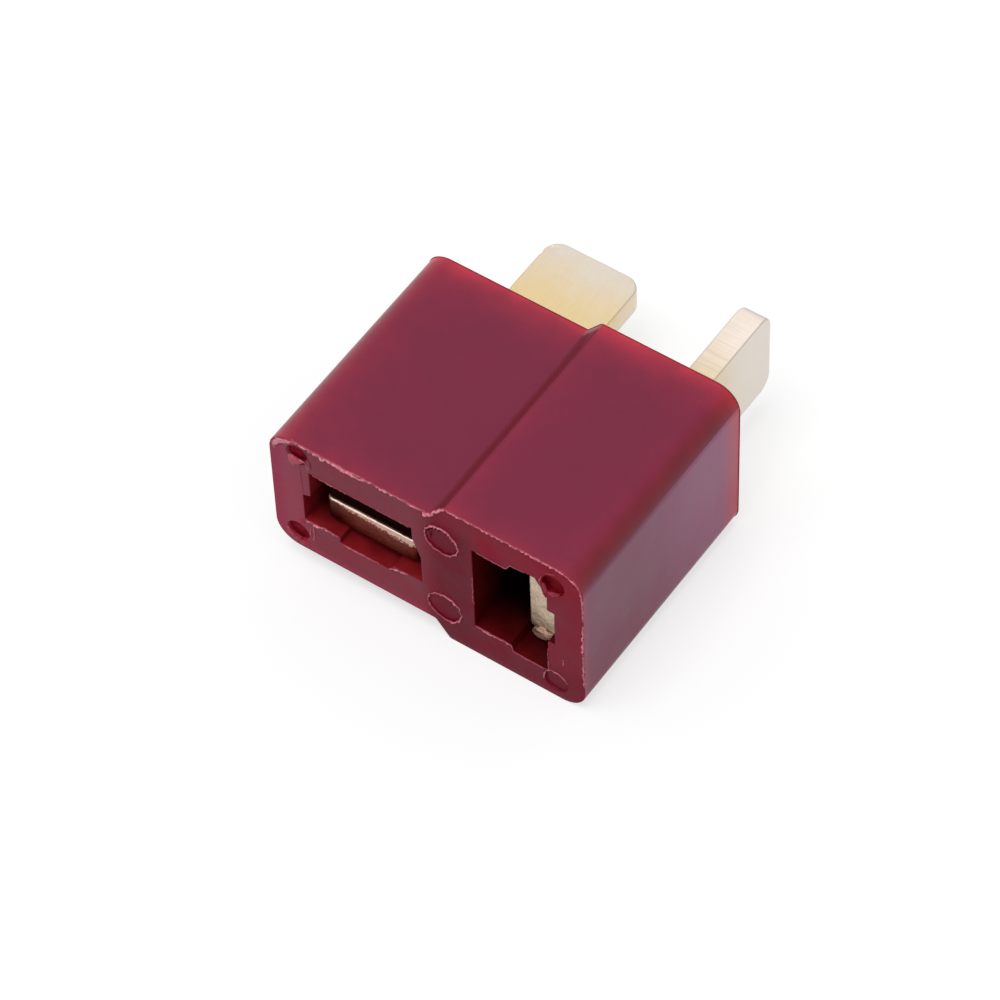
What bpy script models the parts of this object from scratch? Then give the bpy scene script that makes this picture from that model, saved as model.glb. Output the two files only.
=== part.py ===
# Socket half of a two-pole T plug battery connector.
#
# One moulded nylon housing with two keyed slots at right angles to each
# other, and two flat plated brass contacts moulded into its rear wall.
# The contacts stand free inside the slots, and their rear ends stick out
# as solder tabs.
#
# Lengths are in metres, +Z is up. The slots open towards -Y, the solder
# tabs point to +Y, the thin half of the body is at -X and the thick half
# at +X. The origin is at the middle of the part's footprint, on the face
# that it rests on.

import math

import bmesh
import bpy
from mathutils import Matrix, Vector

MM = 0.001

# Contacts: flat bars, a blade inside the slot and a solder tab outside
CONTACT_WIDTH = 4.75 * MM
CONTACT_THICKNESS = 1.3 * MM
CONTACT_EDGE_ROUND = 0.12 * MM
CONTACT_CLEARANCE = 0.04 * MM  # all around each bar in the rear wall
TAB_LENGTH = 5.93 * MM
UPRIGHT_TAB_SHORTER = 0.12 * MM  # than the flat one
TAB_CORNER_RADIUS = 0.8 * MM
NOSE_CORNER_RADIUS = 0.35 * MM
FLAT_NOSE_SETBACK = 0.56 * MM
UPRIGHT_NOSE_SETBACK = 1.05 * MM

# Slots: a wide part around the contact, and a narrow part for the mating blade
CONTACT_END_GAP = 0.64 * MM    # beside the bar, to the wide part's ends
BLADE_END_GAP = 0.235 * MM     # the same in the narrow part
CONTACT_SHIFT = 0.08 * MM      # bar off the middle of its slot
SHOULDER_GAP = 0.18 * MM       # from the bar's open side to the shoulders
FLAT_BACK_GAP = 0.2 * MM       # from the flat bar to the slot wall behind it
UPRIGHT_BACK_GAP = 0.32 * MM
FLAT_BLADE_ROOM = 1.74 * MM    # depth of the narrow part
UPRIGHT_BLADE_ROOM = 1.9 * MM
KEY_SLANT = 0.16 * MM          # slant of the shoulders
KEY_LONG_SLANT = 1.05 * MM     # the flat slot's shoulder beside the web
CORNER_FILL_WIDTH = 0.56 * MM  # slanted outer top corner of the upright slot
CORNER_FILL_HEIGHT = 0.92 * MM

# Grooves that the tool leaves in the slot walls behind the contacts
FLAT_GROOVE_WIDTH = 2.7 * MM
UPRIGHT_GROOVE_WIDTH = 2.15 * MM
GROOVE_DEPTH = 0.36 * MM
GROOVE_SHIFT = 0.15 * MM       # off the middle of the slot
GROOVE_STOP = 0.9 * MM         # ends this far before the end of the slot

# Walls of the housing around the slots
BODY_DEPTH = 11.7 * MM
REAR_WALL = 2.4 * MM           # holds the contacts
END_WALL = 1.59 * MM           # left of the flat slot
WEB_WALL = 2.65 * MM           # between the slots
SIDE_WALL = 1.83 * MM          # right of the upright slot
FLAT_FLOOR_WALL = 2.1 * MM
FLAT_ROOF_WALL = 1.68 * MM
UPRIGHT_FLOOR_WALL = 1.5 * MM
UPRIGHT_ROOF_WALL = 1.43 * MM

# Outside of the housing: a slanted step joins the thin half to the thick half
STEP_FROM_SLOT = 0.59 * MM     # from the flat slot to the foot of the step
STEP_RUN = 0.71 * MM           # how far across the step runs
STEP_ROUND = 0.16 * MM         # foot and head of the step
EDGE_RADIUS = 1.17 * MM        # the four long outer edges
REAR_ROUND = 0.11 * MM         # edge around the rear face

# Round marks of the ejector pins in the front face
WEB_MARK_RADIUS = 0.86 * MM
WEB_MARK_DEPTH = 0.07 * MM
WEB_MARK_FROM_SLOT = 1.13 * MM
WEB_MARK_FROM_TOP = 2.3 * MM
WEB_MARK_FROM_BOTTOM = 2.05 * MM
CORNER_MARK_RADIUS = 0.56 * MM
CORNER_MARK_DEPTH = 0.17 * MM
CORNER_MARK_FROM_SIDE = 1.47 * MM
THIN_TOP_MARK_FROM_TOP = 0.83 * MM
THIN_LOW_MARK_FROM_SIDE = 1.17 * MM
THIN_LOW_MARK_FROM_BOTTOM = 0.99 * MM
THICK_TOP_MARK_FROM_TOP = 1.26 * MM
THICK_LOW_MARK_RADIUS = 0.62 * MM
THICK_LOW_MARK_DEPTH = 0.1 * MM
THICK_LOW_MARK_FROM_BOTTOM = 1.06 * MM

# Fineness of the round stretches
EDGE_STEPS = 12
SMALL_STEPS = 4
REAR_ROUND_STEPS = 3
MARK_STEPS = 40
SMOOTH_ANGLE = math.radians(35)

# Working values of the model
CUT_OVERRUN = 1.0 * MM         # how far a cutter reaches past what it cuts
WELD_DISTANCE = 0.0005 * MM
STEP_ROUND_LIMIT = 0.4         # of the step's height
REAR_ROUND_LIMIT = 0.75        # of the step's rounding
NYLON_COLOUR = (0.19, 0.03, 0.055)
NYLON_ROUGHNESS = 0.36
BRASS_COLOUR = (0.78, 0.62, 0.38)
BRASS_ROUGHNESS = 0.28

# Sizes worked out from the driving ones
SLOT_DEPTH = BODY_DEPTH - REAR_WALL
SLOT_WIDE_WIDTH = CONTACT_WIDTH + 2 * CONTACT_END_GAP
SLOT_NARROW_WIDTH = CONTACT_WIDTH + 2 * BLADE_END_GAP
FLAT_WIDE_DEPTH = FLAT_BACK_GAP + CONTACT_THICKNESS + SHOULDER_GAP
UPRIGHT_WIDE_DEPTH = UPRIGHT_BACK_GAP + CONTACT_THICKNESS + SHOULDER_GAP
FLAT_SLOT_DEPTH = FLAT_WIDE_DEPTH + FLAT_BLADE_ROOM
UPRIGHT_SLOT_DEPTH = UPRIGHT_WIDE_DEPTH + UPRIGHT_BLADE_ROOM
BODY_WIDTH = END_WALL + SLOT_WIDE_WIDTH + WEB_WALL + UPRIGHT_SLOT_DEPTH + SIDE_WALL
BODY_HEIGHT = UPRIGHT_FLOOR_WALL + SLOT_WIDE_WIDTH + UPRIGHT_ROOF_WALL
THIN_HEIGHT = FLAT_FLOOR_WALL + FLAT_SLOT_DEPTH + FLAT_ROOF_WALL

# Places worked out from the sizes
LEFT = -BODY_WIDTH / 2
RIGHT = BODY_WIDTH / 2
FRONT = -(BODY_DEPTH + TAB_LENGTH) / 2
REAR = FRONT + BODY_DEPTH
TAB_END = REAR + TAB_LENGTH
THIN_BOTTOM = (BODY_HEIGHT - THIN_HEIGHT) / 2
THIN_TOP = THIN_BOTTOM + THIN_HEIGHT

FLAT_SLOT_END = LEFT + END_WALL + SLOT_WIDE_WIDTH
FLAT_SLOT_CENTRE = FLAT_SLOT_END - SLOT_WIDE_WIDTH / 2
FLAT_SLOT_FLOOR = THIN_BOTTOM + FLAT_FLOOR_WALL
UPRIGHT_SLOT_WALL = RIGHT - SIDE_WALL
UPRIGHT_SLOT_CENTRE = UPRIGHT_FLOOR_WALL + SLOT_WIDE_WIDTH / 2
FLAT_BAR_MIDDLE = FLAT_SLOT_FLOOR + FLAT_BACK_GAP + CONTACT_THICKNESS / 2
UPRIGHT_BAR_MIDDLE = UPRIGHT_SLOT_WALL - UPRIGHT_BACK_GAP - CONTACT_THICKNESS / 2


def clear_scene():
    """Remove every object that the scene holds."""
    for item in list(bpy.data.objects):
        bpy.data.objects.remove(item, do_unlink=True)


def new_collection(name):
    """Make a collection in the scene."""
    group = bpy.data.collections.new(name)
    bpy.context.scene.collection.children.link(group)
    return group


def rounded_outline(corners):
    """Turn (x, y, radius, steps) corners into a closed outline with arcs."""
    points = []
    count = len(corners)
    for index, (x, y, radius, steps) in enumerate(corners):
        here = Vector((x, y))
        before = Vector(corners[index - 1][:2]) - here
        after = Vector(corners[(index + 1) % count][:2]) - here
        half_angle = before.angle(after) / 2
        if radius <= 0.0 or abs(math.pi / 2 - half_angle) < 1e-6:
            points.append(here)
            continue
        tangent = radius / math.tan(half_angle)
        start = here + before.normalized() * tangent
        end = here + after.normalized() * tangent
        middle = (before.normalized() + after.normalized()).normalized()
        centre = here + middle * (radius / math.sin(half_angle))
        sweep = (start - centre).angle_signed(end - centre)
        for step in range(steps + 1):
            turn = Matrix.Rotation(-sweep * step / steps, 2)
            points.append(centre + turn @ (start - centre))
    return points


def mesh_from_outline(name, outline, half_thickness, edge_round=0.0):
    """Fill an outline in the XY plane and thicken it both ways along Z."""
    curve = bpy.data.curves.new(name + "_outline", "CURVE")
    curve.dimensions = "2D"
    curve.fill_mode = "BOTH"
    curve.extrude = half_thickness - edge_round
    curve.bevel_depth = edge_round
    curve.bevel_resolution = SMALL_STEPS - 1
    curve.offset = -edge_round
    spline = curve.splines.new("POLY")
    spline.points.add(len(outline) - 1)
    for point, (x, y) in zip(spline.points, outline):
        point.co = (x, y, 0.0, 1.0)
    spline.use_cyclic_u = True

    holder = bpy.data.objects.new(name + "_outline", curve)
    bpy.context.scene.collection.objects.link(holder)
    bpy.context.view_layer.update()
    shape = holder.evaluated_get(bpy.context.evaluated_depsgraph_get())
    mesh = bpy.data.meshes.new_from_object(shape)
    mesh.name = name
    bpy.data.objects.remove(holder)
    bpy.data.curves.remove(curve)

    work = bmesh.new()
    work.from_mesh(mesh)
    bmesh.ops.remove_doubles(work, verts=work.verts, dist=WELD_DISTANCE)
    bmesh.ops.recalc_face_normals(work, faces=work.faces)
    work.to_mesh(mesh)
    work.free()
    return mesh


def add_object(name, mesh, group):
    """Put a mesh in the scene as an object of its own."""
    item = bpy.data.objects.new(name, mesh)
    group.objects.link(item)
    return item


def prism(name, outline, front, rear, group):
    """Run an (x, z) outline from one depth to another along Y."""
    mesh = mesh_from_outline(name, outline, (rear - front) / 2)
    stand_up = Matrix.Rotation(math.pi / 2, 4, "X")
    mesh.transform(Matrix.Translation((0.0, (front + rear) / 2, 0.0)) @ stand_up)
    return add_object(name, mesh, group)


def plastic(name, colour, roughness):
    """Moulded plastic material."""
    material = bpy.data.materials.new(name)
    material.use_nodes = True
    shader = material.node_tree.nodes["Principled BSDF"]
    shader.inputs["Base Color"].default_value = (*colour, 1.0)
    shader.inputs["Roughness"].default_value = roughness
    shader.inputs["Metallic"].default_value = 0.0
    return material


def plated_brass(name, colour, roughness):
    """Gold plated brass material."""
    material = plastic(name, colour, roughness)
    material.node_tree.nodes["Principled BSDF"].inputs["Metallic"].default_value = 1.0
    return material


def smooth_rounds(item):
    """Shade the round stretches smooth and keep the real edges sharp."""
    item.data.shade_smooth()
    item.data.set_sharp_from_angle(angle=SMOOTH_ANGLE)


def as_cutter(item):
    """Show a cutter as wires and keep it out of renders."""
    item.display_type = "WIRE"
    item.hide_render = True
    return item


def cut(item, cutter):
    """Take a cutter's shape out of an object."""
    boolean = item.modifiers.new(cutter.name, "BOOLEAN")
    boolean.operation = "DIFFERENCE"
    boolean.solver = "EXACT"
    boolean.object = as_cutter(cutter)


def step_round():
    """Rounding of the step, limited by how high the step is."""
    return min(STEP_ROUND, STEP_ROUND_LIMIT * abs(THIN_BOTTOM))


def body_outline():
    """Outline of the stepped body, seen from the front, anticlockwise."""
    foot = FLAT_SLOT_END + STEP_FROM_SLOT
    head = foot + STEP_RUN
    edge = (EDGE_RADIUS, EDGE_STEPS)
    step = (step_round(), SMALL_STEPS)
    return rounded_outline([
        (LEFT, THIN_BOTTOM, *edge),
        (foot, THIN_BOTTOM, *step),
        (head, 0.0, *step),
        (RIGHT, 0.0, *edge),
        (RIGHT, BODY_HEIGHT, *edge),
        (head, BODY_HEIGHT, *step),
        (foot, THIN_TOP, *step),
        (LEFT, THIN_TOP, *edge),
    ])


def round_rear_edge(item):
    """Round the edge that runs around the rear face."""
    work = bmesh.new()
    work.from_mesh(item.data)
    rim = [edge for edge in work.edges
           if all(abs(vertex.co.y - REAR) < WELD_DISTANCE for vertex in edge.verts)
           and len({abs(face.normal.y) > 0.5 for face in edge.link_faces}) == 2]
    width = min(REAR_ROUND, REAR_ROUND_LIMIT * step_round())
    bmesh.ops.bevel(work, geom=rim, offset=width, offset_type="OFFSET",
                    segments=REAR_ROUND_STEPS, profile=0.5, affect="EDGES",
                    clamp_overlap=True)
    work.to_mesh(item.data)
    work.free()


def slot_outline(wide_depth, blade_room, slant_at_end, fill_width=0.0, fill_height=0.0):
    """Outline of a keyed slot, along its width and away from the wall behind.

    The fill slants the corner between that wall and the slot's far end.
    """
    narrow = SLOT_NARROW_WIDTH / 2
    wide = SLOT_WIDE_WIDTH / 2
    top = wide_depth + blade_room
    corners = [(-wide, 0.0), (wide - fill_height, 0.0)]
    if fill_width > 0.0:
        corners.append((wide, fill_width))
    corners += [
        (wide, wide_depth),
        (narrow, wide_depth + slant_at_end),
        (narrow, top),
        (-narrow, top),
        (-narrow, wide_depth + KEY_SLANT),
        (-wide, wide_depth),
    ]
    return [Vector(corner) for corner in corners]


def groove_outline(width):
    """Section of the groove in the wall behind a contact."""
    start = GROOVE_SHIFT - width / 2
    end = GROOVE_SHIFT + width / 2
    return [Vector((start, -GROOVE_DEPTH)), Vector((end, -GROOVE_DEPTH)),
            Vector((end, GROOVE_DEPTH)), Vector((start, GROOVE_DEPTH))]


def slit_outline(back_gap):
    """Section of the slit in the rear wall, moulded around a contact bar."""
    start = CONTACT_SHIFT - CONTACT_WIDTH / 2 - CONTACT_CLEARANCE
    end = CONTACT_SHIFT + CONTACT_WIDTH / 2 + CONTACT_CLEARANCE
    low = back_gap - CONTACT_CLEARANCE
    high = back_gap + CONTACT_THICKNESS + CONTACT_CLEARANCE
    corner = (CONTACT_EDGE_ROUND + CONTACT_CLEARANCE, SMALL_STEPS)
    return rounded_outline([(start, low, *corner), (end, low, *corner),
                            (end, high, *corner), (start, high, *corner)])


def place_flat(outline):
    """Lay a slot outline into the thin half, its back wall as the floor."""
    return [Vector((FLAT_SLOT_CENTRE + across, FLAT_SLOT_FLOOR + away))
            for across, away in outline]


def place_upright(outline):
    """Turn a slot outline upright in the thick half, its back wall outside."""
    return [Vector((UPRIGHT_SLOT_WALL - away, UPRIGHT_SLOT_CENTRE + across))
            for across, away in outline]


def cut_slot(housing, name, slot, groove, slit, group):
    """Cut one keyed slot, its groove and the slit for its contact."""
    mouth = FRONT - CUT_OVERRUN
    slot_end = FRONT + SLOT_DEPTH
    groove_end = slot_end - GROOVE_STOP
    slit_start = slot_end - CUT_OVERRUN
    slit_end = REAR + CUT_OVERRUN
    cut(housing, prism(name + "_slot_cutter", slot, mouth, slot_end, group))
    cut(housing, prism(name + "_groove_cutter", groove, mouth, groove_end, group))
    cut(housing, prism(name + "_slit_cutter", slit, slit_start, slit_end, group))


def cut_flat_slot(housing, group):
    """The slot across the thin half."""
    slot = slot_outline(FLAT_WIDE_DEPTH, FLAT_BLADE_ROOM, KEY_LONG_SLANT)
    groove = groove_outline(FLAT_GROOVE_WIDTH)
    slit = slit_outline(FLAT_BACK_GAP)
    cut_slot(housing, "flat", place_flat(slot), place_flat(groove), place_flat(slit), group)


def cut_upright_slot(housing, group):
    """The slot that stands upright in the thick half."""
    slot = slot_outline(UPRIGHT_WIDE_DEPTH, UPRIGHT_BLADE_ROOM, KEY_SLANT,
                        CORNER_FILL_WIDTH, CORNER_FILL_HEIGHT)
    groove = groove_outline(UPRIGHT_GROOVE_WIDTH)
    slit = slit_outline(UPRIGHT_BACK_GAP)
    cut_slot(housing, "upright", place_upright(slot), place_upright(groove),
             place_upright(slit), group)


def ejector_marks():
    """Name, x, z, radius and depth of each ejector mark in the front face."""
    left = LEFT + CORNER_MARK_FROM_SIDE
    low_left = LEFT + THIN_LOW_MARK_FROM_SIDE
    right = RIGHT - CORNER_MARK_FROM_SIDE
    web = FLAT_SLOT_END + WEB_MARK_FROM_SLOT
    corner = (CORNER_MARK_RADIUS, CORNER_MARK_DEPTH)
    middle = (WEB_MARK_RADIUS, WEB_MARK_DEPTH)
    low = (THICK_LOW_MARK_RADIUS, THICK_LOW_MARK_DEPTH)
    return [
        ("thin_top", left, THIN_TOP - THIN_TOP_MARK_FROM_TOP, *corner),
        ("thin_low", low_left, THIN_BOTTOM + THIN_LOW_MARK_FROM_BOTTOM, *corner),
        ("web_top", web, BODY_HEIGHT - WEB_MARK_FROM_TOP, *middle),
        ("web_low", web, WEB_MARK_FROM_BOTTOM, *middle),
        ("thick_top", right, BODY_HEIGHT - THICK_TOP_MARK_FROM_TOP, *corner),
        ("thick_low", right, THICK_LOW_MARK_FROM_BOTTOM, *low),
    ]


def cut_ejector_marks(housing, group):
    """Press the round ejector marks into the front face."""
    for name, x, z, radius, depth in ejector_marks():
        work = bmesh.new()
        bmesh.ops.create_cone(work, cap_ends=True, segments=MARK_STEPS, radius1=radius,
                              radius2=radius, depth=depth + CUT_OVERRUN)
        mesh = bpy.data.meshes.new(name + "_mark_cutter")
        work.to_mesh(mesh)
        work.free()
        cutter = add_object(name + "_mark_cutter", mesh, group)
        cutter.rotation_euler = (math.pi / 2, 0.0, 0.0)
        cutter.location = (x, FRONT + (depth - CUT_OVERRUN) / 2, z)
        cut(housing, cutter)


def make_housing(parts, cutters):
    """The moulded housing, with slots, grooves, slits and ejector marks."""
    housing = prism("housing", body_outline(), FRONT, REAR, parts)
    round_rear_edge(housing)
    smooth_rounds(housing)
    housing.data.materials.append(plastic("maroon_nylon", NYLON_COLOUR, NYLON_ROUGHNESS))
    cut_flat_slot(housing, cutters)
    cut_upright_slot(housing, cutters)
    cut_ejector_marks(housing, cutters)
    return housing


def make_contact(name, nose_setback, tab_end, material, parts):
    """A flat bar along Y, with round tab corners and a blunt nose."""
    half = CONTACT_WIDTH / 2
    nose = FRONT + nose_setback
    outline = rounded_outline([
        (-half, nose, NOSE_CORNER_RADIUS, SMALL_STEPS),
        (half, nose, NOSE_CORNER_RADIUS, SMALL_STEPS),
        (half, tab_end, TAB_CORNER_RADIUS, EDGE_STEPS),
        (-half, tab_end, TAB_CORNER_RADIUS, EDGE_STEPS),
    ])
    mesh = mesh_from_outline(name, outline, CONTACT_THICKNESS / 2, CONTACT_EDGE_ROUND)
    contact = add_object(name, mesh, parts)
    smooth_rounds(contact)
    contact.data.materials.append(material)
    return contact


def build():
    """Model the whole connector."""
    clear_scene()
    parts = new_collection("t_plug_socket")
    cutters = new_collection("cutters")
    gold = plated_brass("plated_brass", BRASS_COLOUR, BRASS_ROUGHNESS)

    make_housing(parts, cutters)

    flat = make_contact("flat_contact", FLAT_NOSE_SETBACK, TAB_END, gold, parts)
    flat.location = (FLAT_SLOT_CENTRE + CONTACT_SHIFT, 0.0, FLAT_BAR_MIDDLE)

    upright = make_contact("upright_contact", UPRIGHT_NOSE_SETBACK,
                           TAB_END - UPRIGHT_TAB_SHORTER, gold, parts)
    upright.location = (UPRIGHT_BAR_MIDDLE, 0.0, UPRIGHT_SLOT_CENTRE + CONTACT_SHIFT)
    upright.rotation_euler = (0.0, math.pi / 2, 0.0)


build()
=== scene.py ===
# Looks of the socket half of a T plug battery connector, around its solids.
#
# The frame is the solids' own: +Z is up, the slots open towards -Y and the
# solder tabs point to +Y. Across, along and up are places on X, Y and Z.
# The scene is in metres, and what a comment gives in millimetres is turned
# into metres where a mesh or a bump is made.

import math

import bmesh
import bpy
from mathutils import Matrix, Vector, noise


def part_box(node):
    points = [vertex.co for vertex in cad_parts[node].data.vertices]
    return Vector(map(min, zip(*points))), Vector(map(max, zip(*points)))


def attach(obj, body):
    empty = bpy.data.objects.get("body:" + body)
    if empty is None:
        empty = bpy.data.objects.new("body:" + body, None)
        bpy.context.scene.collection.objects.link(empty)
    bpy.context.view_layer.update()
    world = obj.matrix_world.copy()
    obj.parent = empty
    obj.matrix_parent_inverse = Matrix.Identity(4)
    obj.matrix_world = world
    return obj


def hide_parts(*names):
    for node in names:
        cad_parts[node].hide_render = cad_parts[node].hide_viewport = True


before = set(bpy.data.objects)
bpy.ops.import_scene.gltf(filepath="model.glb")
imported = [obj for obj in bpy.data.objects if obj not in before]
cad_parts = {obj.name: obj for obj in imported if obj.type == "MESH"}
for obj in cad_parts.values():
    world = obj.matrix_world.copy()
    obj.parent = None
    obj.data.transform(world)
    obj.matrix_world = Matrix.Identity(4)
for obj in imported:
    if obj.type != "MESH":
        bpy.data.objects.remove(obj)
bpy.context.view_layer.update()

MM = 0.001
WHITE = (1.0, 1.0, 1.0, 1.0)

# Sides of the housing, in millimetres
HOUSING_LOW, HOUSING_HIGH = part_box("housing")
LEFT, FRONT = HOUSING_LOW[0] / MM, HOUSING_LOW[1] / MM
RIGHT, REAR = HOUSING_HIGH[0] / MM, HOUSING_HIGH[1] / MM

# Places on the front face, in millimetres across and up
STEP_FOOT, STEP_HEAD = 0.31, 1.02
FLAT_SLOT = ((-6.31, 2.62), (-0.28, 6.40))
UPRIGHT_SLOT = ((2.37, 1.50), (6.43, 7.53))
UPPER_WEB_MARK, LOWER_WEB_MARK, WEB_MARK_RADIUS = (0.85, 6.66), (0.85, 2.05), 0.86
UPPER_LEFT_MARK, LOWER_LEFT_MARK, UPPER_RIGHT_MARK = (-6.43, 7.25), (-6.73, 1.87), (6.43, 7.70)
CORNER_MARK_RADIUS, CORNER_MARK_DEPTH = 0.56, 0.17
LOWER_RIGHT_MARK, LOWER_RIGHT_RADIUS = (6.43, 1.06), 0.62

# Sorting of the housing's faces into materials: depths and margins in millimetres, and parts of a normal
BODY, FACE, SLOT, MARK, TORN, STEP, SIDE = range(7)
FRONT_SKIN = 0.06
SLOT_REACH = 9.36
CORNER_MARK_SKIN = 0.02
WEB_MARK_SKIN = 0.01
SHALLOW_MARK_REACH = 0.2
STEP_MARGIN = 0.2
FLOOR_FACING = -0.7
FRONT_FACING = -0.5
SLOPE_FACING = 0.15
SIDE_FACING = 0.98

# Mesh work on the copies of the solids
WELD_DISTANCE = 2e-7
FLAT_ANGLE = math.radians(0.5)
SHARP_ANGLE = math.radians(32)
SMOOTH_ANGLE = math.radians(40)
HOUSING_ROUND = 0.045 * MM
ROUND_STEPS = 2
CONTACT_GRID = 0.14 * MM
CONTACT_WAVE = 0.008 * MM
CONTACT_WAVE_SCALE = 900.0

# Sheared nose of a contact: its bare metal, its lifted top edge with a painted highlight, and the painted
# shade at its dark end
NOSE_REACH = 0.5 * MM
LIP_REACH = 0.14 * MM
NOSE_FACING = -0.2
WIDE_FACING = -0.5
NOSE_UPPER = 0.2 * MM
NOSE_FADE = 0.3 * MM
NOSE_DARK_LEVEL = 0.42
NOSE_TIP_FAR, NOSE_TIP_NEAR, NOSE_TIP_LEVEL = 0.13, 0.05, 0.12

# Flash and flaps, in millimetres
FLASH_STEP = 0.035
FLASH_SIDES = 6
FLASH_LEAST = 0.012
FLASH_SINK = 0.03
FLAP_SINK = 0.05
FLAP_ROUND = 0.02
FLASH_ANGLE = math.radians(20)
WHOLE_CIRCLE = (0, 360)

# Noise that breaks up a bead of flash: cells a millimetre, finer cells as multiples, and shares
FLASH_CELLS = 3.1
FINE_CELLS, WIDTH_CELLS, SWAY_CELLS = 3.3, 2.1, 1.3
TORN_MIDDLE, TORN_SHARE, TORN_FINE_SHARE = 0.75, 0.5, 0.8
TORN_LEAST, TORN_MOST = 0.2, 1.4
WIDTH_MIDDLE, WIDTH_SHARE = 0.9, 0.8
SWAY_SHARE, SWAY_SHIFT = 0.6, Vector((9.0, 0.0, 0.0))
CRUMB_SHARE, CRUMB_CELLS = 0.35, (0.83, 1.37)
SEED_STEP, SEED_SLANT = 3.7, 1.7

# Burr at the low end of the upright bar's nose, in millimetres and degrees
BURR_PLACE = (5.10, -7.75, 2.23)
BURR_SIZE = (0.55, 0.13, 0.36)
BURR_TURN = -33.0
BURR_ROUGHNESS = 0.2
BURR_SEED = 5.0
BURR_FINENESS = 4
BURR_CELLS, BURR_FINE_CELLS, BURR_FINE_SHARE = 1.6, 3.7, 0.4

# Camera: direction, place and lens as in the photograph
CAMERA_AZIMUTH = 36.511
CAMERA_ELEVATION = 52.425
CAMERA_ROLL = -2.514
CAMERA_PLACE = Vector((77.12, -107.655, 171.48)) * MM
CAMERA_LENS = 181.04
CAMERA_SENSOR = 36.0
CAMERA_NEAR, CAMERA_FAR = 0.01, 10.0

# Light and floor
WORLD_LIGHT = 0.58
WORLD_SEEN = 1.0
FLOOR_SIZE = 3.0
FLOOR_COLOUR = (0.38, 0.38, 0.38, 1.0)
FLOOR_LIFT = 0.65
KEY_PLACE = (-0.05, -0.2, 0.85)
KEY_TARGET = (0.0, 0.0, 0.0)
KEY_SIZE = 0.5
KEY_POWER = 3.6

# Painted glow along the body's edges, standing in for light let through the nylon: axis, edge, way inwards,
# strength, and reach in millimetres
EDGE_GLOWS = ((1, REAR, -1, 0.32, 0.6), (1, FRONT, 1, 0.07, 0.65),
              (0, LEFT, 1, 0.30, 0.68), (0, RIGHT, -1, 0.10, 0.6))
# Painted glow in a band beside the step's head on the top faces: strength, reach in millimetres, and where it
# starts
HEAD_GLOW, HEAD_GLOW_REACH, HEAD_GLOW_START = 0.07, 0.5, (0.04, 0.24)

# Colours of the nylon
NYLON_TINT = (0.83, 0.65, 0.93, 1.0)
NYLON = {
    "body": (0.165, 0.0035, 0.0235, 1.0),
    "body_painted_glow": (1.0, 0.06, 0.05, 1.0),
    "round_painted_shade": (0.140, 0.001, 0.004, 1.0),
    "painted_reflection_front_of_side": (0.215, 0.004, 0.058, 1.0),
    "painted_reflection_rear_of_side": (0.345, 0.062, 0.168, 1.0),
    "painted_reflection_top_of_side": (0.008, 0.030, 0.036, 1.0),
    "painted_glow_front_of_side": (0.340, 0.030, 0.082, 1.0),
    "painted_glow_rear_of_side": (0.615, 0.042, 0.084, 1.0),
    "step_foot": (0.188, 0.021, 0.044, 1.0),
    "step_head": (0.156, 0.010, 0.022, 1.0),
    "step_rear_end": (0.40, 0.13, 0.18, 1.0),
    "face_thin": (0.268, 0.043, 0.067, 1.0),
    "face_thick": (0.252, 0.007, 0.027, 1.0),
    "face_high_right": (0.290, 0.002, 0.022, 1.0),
    "face_low_left": (0.292, 0.033, 0.056, 1.0),
    "face_left": (0.372, 0.063, 0.103, 1.0),
    "face_edges_painted_glow": (0.41, 0.036, 0.088, 1.0),
    "flat_slot_mouth": (0.255, 0.010, 0.015, 1.0),
    "painted_shade_deep_flat_slot": (0.055, 0.0008, 0.0014, 1.0),
    "painted_shade_upright_slot_mouth": (0.095, 0.0015, 0.0028, 1.0),
    "painted_shade_deep_upright_slot": (0.007, 0.0002, 0.0003, 1.0),
    "left_mark_dark": (0.170, 0.003, 0.010, 1.0),
    "left_mark_light": (0.300, 0.010, 0.030, 1.0),
    "right_mark_dark": (0.150, 0.001, 0.005, 1.0),
    "right_mark_light": (0.260, 0.005, 0.014, 1.0),
    "flash_root": (0.36, 0.035, 0.070, 1.0),
    "flash_tip": (0.86, 0.285, 0.360, 1.0),
    "torn_dark": (0.42, 0.030, 0.060, 1.0),
    "torn_light": (0.60, 0.120, 0.175, 1.0),
    "torn_low_dark": (0.40, 0.028, 0.060, 1.0),
    "torn_low_light": (0.58, 0.120, 0.170, 1.0),
    "torn_right_dark": (0.27, 0.010, 0.032, 1.0),
    "torn_right_light": (0.40, 0.050, 0.085, 1.0),
}

# Colours of the contacts
BRASS = {
    "slot_painted_shade_brass": (0.50, 0.21, 0.14, 1.0),
    "flat_near": (0.758, 0.592, 0.335, 1.0),
    "flat_far": (0.715, 0.655, 0.605, 1.0),
    "flat_narrow_far": (0.755, 0.68, 0.60, 1.0),
    "upright_near": (0.70, 0.575, 0.375, 1.0),
    "upright_far": (0.745, 0.675, 0.605, 1.0),
    "upright_narrow_far": (0.875, 0.765, 0.68, 1.0),
    "flat_nose_painted_highlight": (1.0, 0.76, 0.67, 1.0),
    "flat_nose_painted_light": (0.56, 0.36, 0.29, 1.0),
    "flat_nose_painted_shadow": (0.138, 0.017, 0.008, 1.0),
    "upright_nose_painted_highlight": (0.80, 0.68, 0.52, 1.0),
    "upright_nose_upper": (0.62, 0.50, 0.37, 1.0),
    "upright_nose_lower": (0.50, 0.37, 0.26, 1.0),
    "burr_dark": (0.40, 0.23, 0.16, 1.0),
    "burr_light": (0.88, 0.58, 0.47, 1.0),
}

# Dents of the flat tab's corner: place, radius and depth in millimetres
FLAT_BAR_DENTS = (((-5.3, 8.3, 4.48), 0.14, 0.06), ((-4.9, 8.1, 4.48), 0.09, 0.04),
                  ((-4.2, 7.2, 4.48), 0.10, 0.03), ((-5.55, 7.9, 4.4), 0.12, 0.05))

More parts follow.
